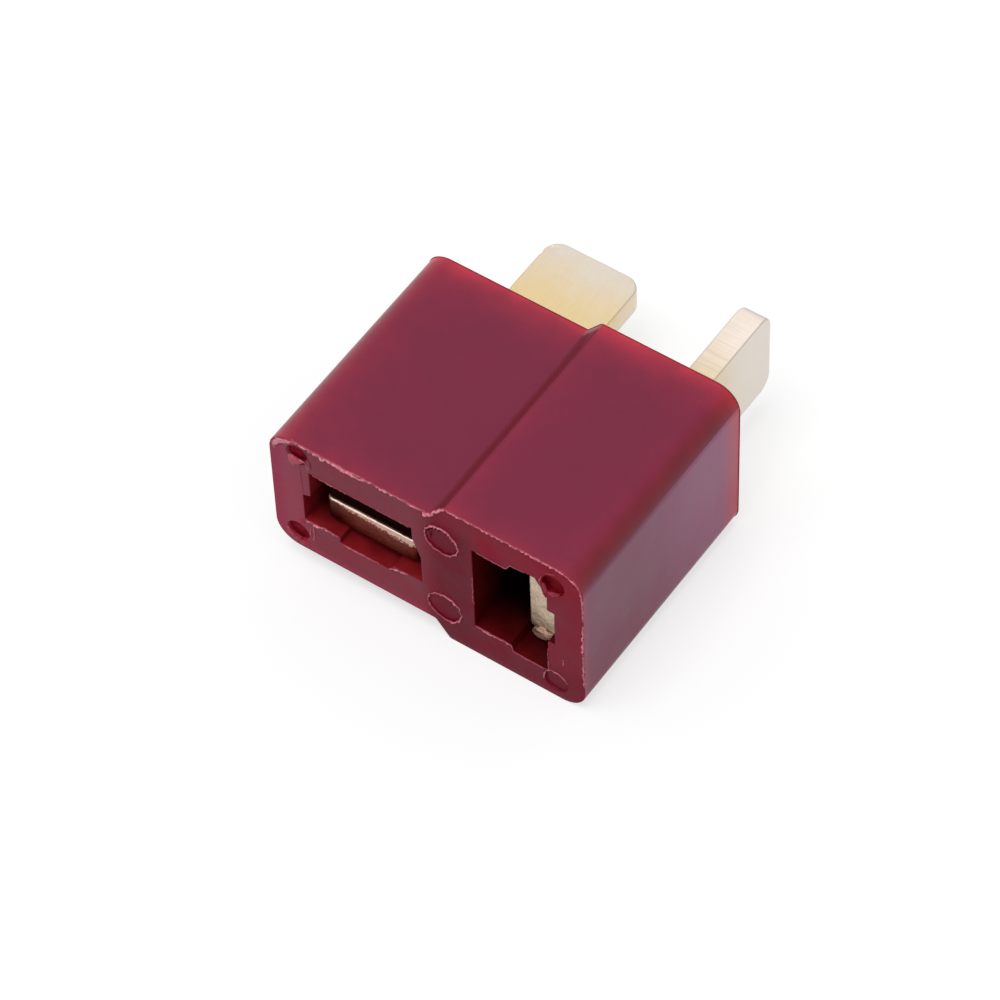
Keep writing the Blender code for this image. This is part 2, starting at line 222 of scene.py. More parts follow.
# Flash on the front face: a bead's width, and its route as (across, up, height), in millimetres
FLASH = {
    "flash_corner": (0.24, (
        (-7.72, 7.02, 0.02), (-7.66, 7.20, 0.03), (-7.55, 7.45, 0.05), (-7.34, 7.66, 0.06),
        (-7.06, 7.82, 0.06), (-6.74, 7.95, 0.05), (-6.45, 8.02, 0.03))),
    "flash_top_thin": (0.08, (
        (-6.7, 8.05, 0.05), (-6.2, 8.06, 0.06), (-5.75, 8.06, 0.05), (-5.2, 8.06, 0.06),
        (-4.4, 8.06, 0.06), (-3.5, 8.06, 0.06), (-2.8, 8.06, 0.05), (-2.35, 8.06, 0.07),
        (-2.1, 8.06, 0.09), (-1.6, 8.06, 0.08), (-1.3, 8.06, 0.05), (-0.9, 8.06, 0.05),
        (-0.5, 8.06, 0.06), (0.0, 8.06, 0.08), (0.12, 8.06, 0.12))),
    "flash_fluff": (0.13, (
        (-6.3, 8.03, 0.03), (-5.9, 8.02, 0.07), (-5.7, 8.02, 0.05), (-5.5, 8.00, 0.10),
        (-5.1, 7.98, 0.13), (-4.9, 8.00, 0.08), (-4.6, 7.98, 0.14), (-4.2, 7.99, 0.12),
        (-3.9, 7.98, 0.13), (-3.4, 7.98, 0.11), (-3.0, 8.00, 0.06), (-2.8, 8.03, 0.02))),
    "flash_step": (0.15, (
        (0.02, 8.02, 0.08), (0.22, 8.05, 0.16), (0.38, 8.10, 0.17), (0.5, 8.28, 0.15),
        (0.66, 8.48, 0.10), (0.85, 8.72, 0.12), (1.0, 8.90, 0.14), (1.1, 8.93, 0.06))),
    "flash_top_thick": (0.07, (
        (1.02, 8.93, 0.10), (1.2, 8.94, 0.06), (1.8, 8.94, 0.06), (2.9, 8.94, 0.05),
        (3.4, 8.94, 0.07), (3.9, 8.94, 0.05), (5.0, 8.94, 0.06), (5.6, 8.94, 0.08),
        (6.0, 8.94, 0.06), (6.73, 8.92, 0.07), (7.18, 8.83, 0.06), (7.56, 8.58, 0.06),
        (7.77, 8.24, 0.07), (7.86, 7.79, 0.07), (7.87, 7.2, 0.05), (7.87, 7.0, 0.08),
        (7.87, 6.3, 0.02))),
    "flash_right_edge": (0.09, (
        (7.86, 6.0, 0.02), (7.87, 5.75, 0.07), (7.85, 5.5, 0.09), (7.87, 5.32, 0.03),
        (7.84, 5.16, 0.11), (7.86, 4.95, 0.04), (7.84, 4.64, 0.12), (7.87, 4.4, 0.04),
        (7.84, 4.2, 0.10), (7.87, 3.9, 0.02), (7.87, 3.2, 0.05), (7.86, 2.44, 0.06),
        (7.87, 1.7, 0.02))),
    "flash_flat_slot_top": (0.04, (
        (-5.7, 6.41, 0.02), (-4.9, 6.41, 0.04), (-4.4, 6.41, 0.03), (-3.2, 6.41, 0.02),
        (-1.9, 6.41, 0.02), (-0.8, 6.41, 0.02))),
    "flash_flat_slot_curl": (0.08, (
        (-6.25, 2.92, 0.03), (-5.9, 2.95, 0.10), (-5.6, 3.00, 0.12), (-5.3, 3.02, 0.09),
        (-5.05, 3.00, 0.06), (-4.6, 2.96, 0.02))),
    "flash_flat_groove_lip": (0.05, (
        (-4.35, 2.61, 0.03), (-4.0, 2.61, 0.05), (-3.3, 2.61, 0.04), (-2.5, 2.61, 0.02))),
    "flash_flat_groove_rag": (0.09, (
        (-1.98, 2.70, 0.03), (-1.84, 2.78, 0.09), (-1.58, 2.90, 0.10), (-1.3, 2.92, 0.05),
        (-1.0, 2.97, 0.02))),
    "flash_upright_slot_top": (0.04, (
        (2.6, 7.14, 0.02), (3.2, 7.14, 0.03), (4.1, 7.14, 0.04), (4.3, 7.50, 0.03),
        (5.0, 7.54, 0.02))),
    "flash_upright_corner": (0.05, (
        (5.87, 7.97, 0.03), (5.79, 7.70, 0.05), (5.77, 7.46, 0.05), (5.86, 7.10, 0.07),
        (5.98, 6.78, 0.05), (6.04, 6.6, 0.02))),
    "flash_upright_slot_low": (0.06, (
        (2.4, 1.9, 0.04), (2.9, 1.9, 0.05), (3.15, 1.9, 0.10), (3.5, 1.9, 0.08),
        (3.7, 1.9, 0.04), (3.95, 1.9, 0.05), (4.2, 1.88, 0.03), (4.3, 1.52, 0.02),
        (4.8, 1.49, 0.02), (5.3, 1.49, 0.015), (5.8, 1.49, 0.02))),
    "flash_upright_slot_left": (0.04, (
        (2.36, 5.3, 0.02), (2.36, 4.6, 0.04), (2.36, 4.25, 0.03), (2.35, 4.0, 0.10),
        (2.36, 3.8, 0.06), (2.36, 3.4, 0.02))),
    "flash_upright_slot_right": (0.04, ((6.08, 3.1, 0.02), (6.08, 2.6, 0.04), (6.08, 1.7, 0.03))),
    "flash_upper_right_stroke": (0.04, ((6.10, 8.32, 0.02), (6.30, 8.42, 0.05), (6.52, 8.50, 0.02))),
    "flash_left_crease": (0.05, (
        (-6.36, 7.07, 0.04), (-6.10, 7.02, 0.06), (-6.03, 7.06, 0.05), (-5.97, 6.80, 0.03),
        (-5.90, 6.45, 0.02))),
    "flash_side_ridge": (0.06, ((6.84, 2.9, 0.02), (6.86, 2.7, 0.06), (6.85, 2.45, 0.02))),
    "flash_lower_left_inner": (0.06, ((-6.07, 2.52, 0.02), (-6.06, 2.30, 0.06), (-6.11, 2.05, 0.03))),
    "flash_lower_left_outer": (0.07, (
        (-5.88, 2.72, 0.03), (-5.86, 2.30, 0.06), (-5.91, 1.95, 0.05), (-5.97, 1.72, 0.02))),
}

# Beads around the marks: nylon, centre, radius, angles, width, noise seed and evenly spread heights
RIMS = {
    "rim_web_upper": (
        "flash", UPPER_WEB_MARK, WEB_MARK_RADIUS, WHOLE_CIRCLE, 0.08, 21.0,
        (0.06, 0.07, 0.08, 0.09, 0.12, 0.11, 0.05, 0.03, 0.03, 0.03, 0.05, 0.07, 0.06)),
    "rim_web_lower": (
        "flash", LOWER_WEB_MARK, WEB_MARK_RADIUS, WHOLE_CIRCLE, 0.08, 25.0,
        (0.08, 0.06, 0.05, 0.07, 0.05, 0.02, 0.03, 0.03, 0.02, 0.03, 0.08, 0.09, 0.08)),
    "rim_corner_lower_right": (
        "flash", LOWER_RIGHT_MARK, LOWER_RIGHT_RADIUS, (20, 200), 0.08, 43.0,
        (0.01, 0.03, 0.05, 0.04, 0.05, 0.04, 0.02)),
    "crescent_web_upper": (
        "face", UPPER_WEB_MARK, 0.74 * WEB_MARK_RADIUS, (100, 200), 0.12, 47.0,
        (0.02, 0.05, 0.03, 0.06, 0.03, 0.02)),
}

# Torn, flat and raised bits of the face: nylon, then outline and peak as (across, up, out) in millimetres
FLAPS = {
    "flap_upper_left": ("torn", (
        (-6.93, 7.00, 0.02), (-6.73, 7.13, 0.05), (-6.34, 7.07, 0.06), (-6.12, 6.98, 0.04),
        (-6.30, 6.76, 0.03), (-6.51, 6.60, 0.02), (-6.67, 6.38, 0.01), (-6.92, 6.60, 0.01)),
        (-6.64, 6.90, 0.12)),
    "flap_lower_left_foot": ("torn", (
        (-6.96, 1.32, 0.02), (-6.78, 1.46, 0.05), (-6.62, 1.56, 0.06), (-6.60, 1.36, 0.04),
        (-6.94, 1.15, 0.01)), (-6.74, 1.37, 0.09)),
    "flap_lower_left_toe": ("torn", (
        (-6.65, 1.10, 0.01), (-6.48, 1.40, 0.05), (-6.27, 1.42, 0.05), (-6.10, 1.34, 0.03),
        (-6.28, 1.17, 0.02)), (-6.40, 1.29, 0.10)),
    "flap_lower_left_rim": ("torn", (
        (-7.34, 1.95, 0.01), (-7.24, 1.75, 0.03), (-7.05, 1.50, 0.04), (-6.95, 1.38, 0.02),
        (-7.16, 1.34, 0.01), (-7.40, 1.60, 0.01)), (-7.22, 1.54, 0.05)),
    "flap_lower_left_top": ("torn", (
        (-6.78, 2.64, 0.01), (-6.64, 2.76, 0.05), (-6.37, 2.82, 0.04), (-6.30, 2.70, 0.02),
        (-6.55, 2.60, 0.03)), (-6.54, 2.71, 0.08)),
    "flap_upper_right_side": ("torn", (
        (5.87, 7.50, 0.01), (5.98, 7.58, 0.03), (6.10, 7.40, 0.04), (6.12, 7.20, 0.03),
        (6.10, 6.96, 0.01), (5.94, 6.92, 0.01)), (6.03, 7.26, 0.05)),
    "flap_upper_right_foot": ("torn", (
        (6.12, 6.98, 0.01), (6.20, 7.14, 0.03), (6.43, 7.22, 0.03), (6.78, 7.34, 0.02),
        (6.66, 7.10, 0.01), (6.38, 6.92, 0.01)), (6.42, 7.12, 0.05)),
    "flash_lying_corner": ("flash", (
        (-7.74, 7.14, 0.03), (-7.60, 7.54, 0.06), (-7.34, 7.82, 0.07), (-7.02, 7.97, 0.07),
        (-6.68, 8.02, 0.05), (-6.72, 7.90, 0.05), (-7.06, 7.72, 0.05), (-7.32, 7.50, 0.04),
        (-7.50, 7.22, 0.03)), (-7.34, 7.67, 0.10)),
    "raised_upper_left_facet": ("face", (
        (-6.00, 7.22, 0.01), (-5.86, 7.36, 0.03), (-5.76, 7.14, 0.04), (-5.73, 6.80, 0.03),
        (-5.88, 6.52, 0.01), (-5.96, 6.86, 0.02)), (-5.84, 7.04, 0.07)),
    "raised_left_panel": ("face", (
        (-6.34, 6.66, 0.01), (-6.30, 5.70, 0.02), (-6.27, 4.70, 0.01), (-6.30, 4.66, 0.01),
        (-6.40, 5.60, 0.01), (-6.40, 6.60, 0.01)), (-6.33, 5.90, 0.03)),
}


# Shader building

def material(name):
    """New node material: the material, its node tree and its shader."""
    made = bpy.data.materials.new(name)
    made.use_nodes = True
    return made, made.node_tree, made.node_tree.nodes["Principled BSDF"]


def add_node(tree, kind, settings=(), inputs=()):
    """New shader node; an input's value is a number, a colour or another node's output."""
    made = tree.nodes.new(kind)
    for name, value in dict(settings).items():
        setattr(made, name, value)
    for name, value in dict(inputs).items():
        if isinstance(value, bpy.types.NodeSocket):
            tree.links.new(value, made.inputs[name])
        else:
            made.inputs[name].default_value = value
    return made


def calculate(tree, operation, first, second=0.0):
    """Output of a math node."""
    return add_node(tree, "ShaderNodeMath", {"operation": operation},
                    {0: first, 1: second}).outputs[0]


def times(tree, first, *others):
    """Product of values."""
    for other in others:
        first = calculate(tree, "MULTIPLY", first, other)
    return first


def plus(tree, first, *others):
    """Sum of values."""
    for other in others:
        first = calculate(tree, "ADD", first, other)
    return first


def largest(tree, first, *others):
    """Largest of some values."""
    for other in others:
        first = calculate(tree, "MAXIMUM", first, other)
    return first


def remap(tree, value, low, high, to_low=0.0, to_high=1.0):
    """Value taken smoothly from one range to another, and held at its ends."""
    return add_node(tree, "ShaderNodeMapRange", {"interpolation_type": "SMOOTHSTEP"},
                    {"Value": value, "From Min": low, "From Max": high,
                     "To Min": to_low, "To Max": to_high}).outputs[0]


def mix_colours(tree, factor, first, second, way="MIX"):
    """Output of a colour mix."""
    return add_node(tree, "ShaderNodeMix", {"data_type": "RGBA", "blend_type": way},
                    {0: factor, 6: first, 7: second}).outputs[2]


def shaded(tree, colour, level):
    """Colour multiplied by a level."""
    grey = add_node(tree, "ShaderNodeCombineColor", (), {0: level, 1: level, 2: level}).outputs[0]
    return mix_colours(tree, 1.0, colour, grey, "MULTIPLY")


def place_in_mm(tree):
    """Place on the part in millimetres."""
    place = add_node(tree, "ShaderNodeTexCoord").outputs["Object"]
    return add_node(tree, "ShaderNodeVectorMath", {"operation": "SCALE"},
                    {0: place, "Scale": 1 / MM}).outputs[0]


def stretched(tree, place, factors):
    """Place with each axis multiplied by its own factor."""
    return add_node(tree, "ShaderNodeVectorMath", {"operation": "MULTIPLY"},
                    {0: place, 1: factors}).outputs[0]


def parts_of(tree, vector):
    """Parts of a vector across, along and up."""
    return add_node(tree, "ShaderNodeSeparateXYZ", (), {0: vector}).outputs


def facing_parts(tree):
    """Parts of the direction that the surface faces."""
    return parts_of(tree, add_node(tree, "ShaderNodeTexCoord").outputs["Normal"])


def grain(tree, place, scale, detail=3.0, roughness=0.55):
    """Noise around 0.5, with scale in cells a millimetre."""
    return add_node(tree, "ShaderNodeTexNoise", (),
                    {"Vector": place, "Scale": scale, "Detail": detail,
                     "Roughness": roughness}).outputs["Fac"]


def finish_surface(tree, shader, base, roughness, bumps, metallic=0.0, specular=0.5, tint=WHITE):
    """Give a shader its colour, roughness, bumps and gloss.

    The roughness is a noise pattern with its lowest and highest value, and
    the bumps are pairs of a height pattern and its depth in millimetres.
    """
    pattern, lowest, highest = roughness
    tree.links.new(base, shader.inputs["Base Color"])
    tree.links.new(remap(tree, pattern, 0.3, 0.7, lowest, highest), shader.inputs["Roughness"])
    shader.inputs["Metallic"].default_value = metallic
    shader.inputs["Specular IOR Level"].default_value = specular
    shader.inputs["Specular Tint"].default_value = tint
    normal = None
    for heights, depth in bumps:
        bump = add_node(tree, "ShaderNodeBump", (),
                        {"Height": heights, "Strength": 1.0, "Distance": depth * MM})
        if normal is not None:
            tree.links.new(normal, bump.inputs["Normal"])
        normal = bump.outputs[0]
    tree.links.new(normal, shader.inputs["Normal"])


# Camera, light and floor

def build_camera():
    """Camera at the photograph's viewing angle."""
    azimuth, elevation = math.radians(CAMERA_AZIMUTH), math.radians(CAMERA_ELEVATION)
    back = Vector((math.sin(azimuth) * math.cos(elevation),
                   -math.cos(azimuth) * math.cos(elevation),
                   math.sin(elevation)))
    data = bpy.data.cameras.new("camera")
    data.lens = CAMERA_LENS
    data.sensor_width = CAMERA_SENSOR
    data.clip_start = CAMERA_NEAR
    data.clip_end = CAMERA_FAR
    camera = bpy.data.objects.new("camera", data)
    bpy.context.scene.collection.objects.link(camera)
    upright = (-back).to_track_quat("-Z", "Y").to_matrix().to_4x4()
    roll = Matrix.Rotation(math.radians(CAMERA_ROLL), 4, "Z")
    camera.matrix_world = Matrix.Translation(CAMERA_PLACE) @ upright @ roll
    bpy.context.scene.camera = camera


def seen_directly(tree):
    """Socket that is 1 for camera, glossy and transmission rays, and 0 for the rest."""
    rays = add_node(tree, "ShaderNodeLightPath").outputs
    return largest(tree, rays["Is Camera Ray"], rays["Is Glossy Ray"], rays["Is Transmission Ray"])


def build_world():
    """White surroundings, at a lower level where they only light the part."""
    world = bpy.data.worlds.new("studio")
    bpy.context.scene.world = world
    world.use_nodes = True
    tree = world.node_tree
    strength = remap(tree, seen_directly(tree), 0.0, 1.0, WORLD_LIGHT, WORLD_SEEN)
    tree.links.new(strength, tree.nodes["Background"].inputs["Strength"])
    tree.nodes["Background"].inputs["Color"].default_value = WHITE


def build_floor():
    """Plain pale floor that keeps the object's shadow."""
    bpy.ops.mesh.primitive_plane_add(size=FLOOR_SIZE)
    floor = bpy.context.object
    floor.name = "floor"
    made, tree, shader = material("pale_floor")
    shader.inputs["Base Color"].default_value = FLOOR_COLOUR
    shader.inputs["Roughness"].default_value = 1.0
    shader.inputs["Specular IOR Level"].default_value = 0.0
    shader.inputs["Emission Color"].default_value = WHITE
    lift = remap(tree, seen_directly(tree), 0.0, 1.0, 0.0, FLOOR_LIFT)
    tree.links.new(lift, shader.inputs["Emission Strength"])
    floor.data.materials.append(made)


def build_key_light():
    """Large square lamp above the part."""
    data = bpy.data.lights.new("key_softbox", "AREA")
    data.shape = "SQUARE"
    data.size = KEY_SIZE
    data.energy = KEY_POWER
    lamp = bpy.data.objects.new("key_softbox", data)
    bpy.context.scene.collection.objects.link(lamp)
    lamp.location = KEY_PLACE
    lamp.rotation_mode = "QUATERNION"
    lamp.rotation_quaternion = (Vector(KEY_TARGET) - Vector(KEY_PLACE)).to_track_quat("-Z", "Y")


# Nylon

def painted_edge_glow(tree, place):
    """Painted glow near the body's edges and in a band beside the step's head, standing in for red light let
    through the nylon.
    """
    parts = parts_of(tree, place)
    facing = facing_parts(tree)
    glows = []
    for axis, edge, way, strength, reach in EDGE_GLOWS:
        distance = times(tree, calculate(tree, "SUBTRACT", parts[axis], edge), way)
        fade = calculate(tree, "EXPONENT", calculate(tree, "DIVIDE", distance, -reach))
        square = times(tree, facing[axis], facing[axis])
        glows.append(times(tree, fade, strength, calculate(tree, "SUBTRACT", 1.0, square)))
    head = calculate(tree, "SUBTRACT", parts[0], STEP_HEAD)
    fade = calculate(tree, "EXPONENT", calculate(tree, "DIVIDE", head, -HEAD_GLOW_REACH))
    band = times(tree, fade, remap(tree, head, *HEAD_GLOW_START), remap(tree, facing[2], 0.7, 0.9))
    return plus(tree, *glows, times(tree, band, HEAD_GLOW))


def body_nylon():
    """Satin maroon nylon, with a painted glow along the body's edges and painted shade, darker and redder, on
    the round edge at the right.
    """
    made, tree, shader = material("satin_nylon")
    place = place_in_mm(tree)
    across = parts_of(tree, place)[0]
    # Painted shade on the round edge at the right: darker and redder where it turns towards +X
    painted_shade_on_round = times(tree, remap(tree, across, 6.5, 7.0), remap(tree, facing_parts(tree)[0], 0.25, 0.7))
    clouds = grain(tree, place, 0.7, 4.0, 0.6)
    fine = grain(tree, place, 9.0, 2.0)
    # Painted glow along the body's edges, added to the base colour
    glow = times(tree, painted_edge_glow(tree, place), remap(tree, clouds, 0.3, 0.7, 0.8, 1.2))
    base = mix_colours(tree, painted_shade_on_round, NYLON["body"], NYLON["round_painted_shade"])
    base = mix_colours(tree, glow, base, NYLON["body_painted_glow"], "ADD")
    shade = times(tree, remap(tree, clouds, 0.25, 0.75, 0.94, 1.06), remap(tree, fine, 0.3, 0.7, 0.97, 1.03))
    bumps = ((grain(tree, place, 1.2, 2.0), 0.006), (grain(tree, place, 14.0, 2.0), 0.0008))
    finish_surface(tree, shader, shaded(tree, base, shade), (grain(tree, place, 2.2), 0.31, 0.35), bumps,
                   tint=NYLON_TINT)
    return made


def right_side_painted_reflection():
    """Smooth purplish right side: the purple and its lightening towards the rear and the top are a painted
    reflection of the white surroundings, and its redder front and rear edges are a painted glow.
    """
    made, tree, shader = material("right_side_painted_reflection")
    place = place_in_mm(tree)
    _, along, up = parts_of(tree, place)
    clouds = grain(tree, stretched(tree, place, (1.0, 1.0, 0.35)), 0.8, 3.0)
    # Painted reflection, lighter towards the rear and the top, and painted glow at the front and rear edges
    base = mix_colours(tree, remap(tree, along, -5.5, 1.5), NYLON["painted_reflection_front_of_side"], NYLON["painted_reflection_rear_of_side"])
    base = mix_colours(tree, remap(tree, along, 1.3, REAR), base, NYLON["painted_glow_rear_of_side"])
    base = mix_colours(tree, remap(tree, up, 1.5, 5.5), base, NYLON["painted_reflection_top_of_side"], "ADD")
    base = mix_colours(tree, remap(tree, along, FRONT + 0.6, FRONT), base, NYLON["painted_glow_front_of_side"])
    shade = times(tree, remap(tree, clouds, 0.3, 0.7, 0.95, 1.05), remap(tree, up, 3.0, 8.0, 0.97, 1.06))
    finish_surface(tree, shader, shaded(tree, base, shade), (clouds, 0.3, 0.36),
                   ((grain(tree, place, 0.5, 2.0), 0.02),), specular=0.19)
    return made


def step_nylon():
    """Slope between the two halves, darker towards its head and lighter at its rear end."""
    made, tree, shader = material("step_nylon")
    place = place_in_mm(tree)
    _, along, up = parts_of(tree, place)
    clouds = grain(tree, place, 1.5, 4.0)
    base = mix_colours(tree, remap(tree, up, 8.15, 8.60), NYLON["step_foot"], NYLON["step_head"])
    base = shaded(tree, base, remap(tree, clouds, 0.3, 0.7, 0.92, 1.08))
    base = mix_colours(tree, remap(tree, along, 2.35, 2.75), base, NYLON["step_rear_end"])
    finish_surface(tree, shader, base, (clouds, 0.45, 0.6), ((clouds, 0.01),), specular=0.1)
    return made


def face_nylon():
    """Duller front face: pinker at its left end, with a painted glow along its left and low edges, darker on
    the web and low on the right, and with painted shade beside the upper-left mark.
    """
    made, tree, shader = material("dull_nylon")
    place = place_in_mm(tree)
    across, _, up = parts_of(tree, place)
    clouds = grain(tree, place, 0.55, 4.0, 0.55)
    fine = grain(tree, place, 6.0, 4.0, 0.65)
    high_right = times(tree, remap(tree, across, 2.0, 3.0), remap(tree, up, 7.2, 7.8))
    low_left = times(tree, remap(tree, across, 0.0, -1.0), remap(tree, up, 2.9, 2.2))
    # Painted glow along the face's left and low edges
    left_rim = remap(tree, across, -7.0, -7.7)
    low_rim = times(tree, remap(tree, up, 1.5, 0.9), remap(tree, across, 0.4, -0.6))
    lowest_rim = times(tree, remap(tree, up, 0.5, 0.05), 0.5)
    base = mix_colours(tree, remap(tree, across, -0.9, 0.7), NYLON["face_thin"], NYLON["face_thick"])
    base = mix_colours(tree, high_right, base, NYLON["face_high_right"])
    base = mix_colours(tree, low_left, base, NYLON["face_low_left"])
    base = mix_colours(tree, remap(tree, across, -5.4, -6.9), base, NYLON["face_left"])
    base = mix_colours(tree, largest(tree, left_rim, low_rim, lowest_rim), base, NYLON["face_edges_painted_glow"])
    web = times(tree, remap(tree, across, -0.4, 0.9), remap(tree, across, 2.9, 1.9),
                remap(tree, up, 8.3, 7.4))
    low_right = times(tree, remap(tree, across, 2.0, 3.0), remap(tree, up, 2.6, 1.6))
    # Painted shade beside the upper-left mark, standing in for the shade of its hollow
    painted_shade_beside_mark = times(tree, remap(tree, across, -6.45, -6.25), remap(tree, across, -5.78, -5.95),
                        remap(tree, up, 7.15, 7.5))
    # Darker web and low right, and the painted shade beside the mark
    dark = plus(tree, times(tree, web, 0.34), times(tree, low_right, 0.24), times(tree, painted_shade_beside_mark, 0.45))
    level = calculate(tree, "SUBTRACT", remap(tree, clouds, 0.25, 0.75, 0.88, 1.12), dark)
    level = times(tree, level, remap(tree, fine, 0.3, 0.7, 0.95, 1.05))
    finish_surface(tree, shader, shaded(tree, base, level), (clouds, 0.42, 0.56),
                   ((grain(tree, place, 0.9, 3.0), 0.03), (fine, 0.003)), specular=0.12, tint=NYLON_TINT)
    return made


def painted_shade_slot_nylon():
    """Nylon inside the slots with painted shade: darker in the upright one and away from the mouths."""
    made, tree, shader = material("painted_shade_slot_nylon")
    place = place_in_mm(tree)
    across, along, _ = parts_of(tree, place)
    # Painted shade deepening from the mouth inwards
    inside = remap(tree, calculate(tree, "SUBTRACT", along, FRONT), 0.0, 2.4)
    upright = remap(tree, across, 0.0, 2.0)
    mouth = mix_colours(tree, upright, NYLON["flat_slot_mouth"], NYLON["painted_shade_upright_slot_mouth"])
    deep = mix_colours(tree, upright, NYLON["painted_shade_deep_flat_slot"], NYLON["painted_shade_deep_upright_slot"])
    clouds = grain(tree, place, 1.3, 4.0)
    base = shaded(tree, mix_colours(tree, inside, mouth, deep), remap(tree, clouds, 0.3, 0.7, 0.8, 1.15))
    finish_surface(tree, shader, base, (clouds, 0.45, 0.6), ((clouds, 0.02),), specular=0.08)
    return made


def mark_nylon():
    """Saturated red at the bottom of the marks in the corners, darker on the right."""
    made, tree, shader = material("mark_nylon")
    place = place_in_mm(tree)
    across = parts_of(tree, place)[0]
    clouds = grain(tree, place, 2.6, 4.0, 0.6)
    light = remap(tree, clouds, 0.35, 0.65)
    left = mix_colours(tree, light, NYLON["left_mark_dark"], NYLON["left_mark_light"])
    right = mix_colours(tree, light, NYLON["right_mark_dark"], NYLON["right_mark_light"])
    base = mix_colours(tree, remap(tree, across, -1.0, 1.0), left, right)
    finish_surface(tree, shader, base, (clouds, 0.4, 0.55), ((clouds, 0.03),), specular=0.03)
    return made


def flash_nylon():
    """Thin torn nylon, the paler the further it stands out of the front face."""
    made, tree, shader = material("flash_nylon")
    place = place_in_mm(tree)
    along = parts_of(tree, place)[1]
    clouds = grain(tree, place, 5.0, 4.0, 0.65)
    thin = remap(tree, calculate(tree, "SUBTRACT", FRONT, along), 0.0, 0.07)
    pale = times(tree, thin, remap(tree, clouds, 0.34, 0.6, 0.35, 1.0))
    base = mix_colours(tree, pale, NYLON["flash_root"], NYLON["flash_tip"])
    finish_surface(tree, shader, base, (clouds, 0.25, 0.5), ((grain(tree, place, 12.0, 2.0), 0.004),),
                   specular=0.45)
    return made


def torn_nylon():
    """Freshly torn nylon on the walls and lips of the marks, redder low down and darker on the right."""
    made, tree, shader = material("torn_nylon")
    place = place_in_mm(tree)
    across, _, up = parts_of(tree, place)
    clouds = grain(tree, place, 3.0, 4.0, 0.65)
    base = mix_colours(tree, remap(tree, clouds, 0.35, 0.65), NYLON["torn_dark"], NYLON["torn_light"])
    low = mix_colours(tree, remap(tree, clouds, 0.45, 0.75), NYLON["torn_low_dark"], NYLON["torn_low_light"])
    base = mix_colours(tree, remap(tree, up, 4.0, 3.0), base, low)
    right = mix_colours(tree, remap(tree, clouds, 0.4, 0.7),
                        NYLON["torn_right_dark"], NYLON["torn_right_light"])
    base = mix_colours(tree, remap(tree, across, -1.0, 1.0), base, right)
    finish_surface(tree, shader, base, (clouds, 0.35, 0.55), ((clouds, 0.03),), specular=0.10)
    return made


# Brass

def plated_brass(name, wide_axis, near, far, narrow_far, fade):
    """Dull pale gold plating that turns to greyish pink towards the tab's end.

    The colour changes between two places along the bar, and inside the slot it turns to a
    painted shade. The bar's narrow faces have fine milled lines across them and their own
    far colour, and its rounded edges are darkened with painted shade.
    """
    made, tree, shader = material(name)
    place = place_in_mm(tree)
    along = parts_of(tree, place)[1]
    facing = facing_parts(tree)
    wide = calculate(tree, "ABSOLUTE", facing[wide_axis])
    narrow = calculate(tree, "ABSOLUTE", facing[2 - wide_axis])
    flatness = largest(tree, wide, narrow, calculate(tree, "ABSOLUTE", facing[1]))
    is_narrow = remap(tree, narrow, 0.75, 0.95)
    clouds = grain(tree, place, 0.8, 4.0, 0.6)
    towards_end = plus(tree, remap(tree, along, *fade), remap(tree, clouds, 0.3, 0.7, -0.12, 0.12))
    towards_end = add_node(tree, "ShaderNodeClamp", (), {0: towards_end}).outputs[0]
    base = mix_colours(tree, towards_end, near, mix_colours(tree, is_narrow, far, narrow_far))
    # Painted shade on the plating inside the slot
    base = mix_colours(tree, remap(tree, along, -2.5, -6.5), base, BRASS["slot_painted_shade_brass"])
    lines = grain(tree, stretched(tree, place, (0.35, 13.0, 0.35)), 1.0, 3.0, 0.6)
    scratches = grain(tree, stretched(tree, place, (5.0, 0.6, 5.0)), 1.6, 4.0, 0.7)
    fine = grain(tree, place, 16.0, 2.0)
    line_share = times(tree, is_narrow, remap(tree, along, 8.4, 4.0, 0.35, 1.0))
    line_shade = remap(tree, lines, 0.35, 0.65, 0.92, 1.06)
    soft_shade = remap(tree, scratches, 0.3, 0.7, 0.975, 1.02)
    shade = add_node(tree, "ShaderNodeMix", (), {0: line_share, 2: soft_shade, 3: line_shade}).outputs[0]
    # Painted shade on the rounded edges
    shade = times(tree, shade, remap(tree, flatness, 0.75, 0.98, 0.74, 1.0))
    bumps = ((clouds, 0.008), (times(tree, lines, is_narrow), 0.004), (fine, 0.0015))
    finish_surface(tree, shader, shaded(tree, base, shade), (clouds, 0.35, 0.37), bumps, metallic=1.0)
    return made


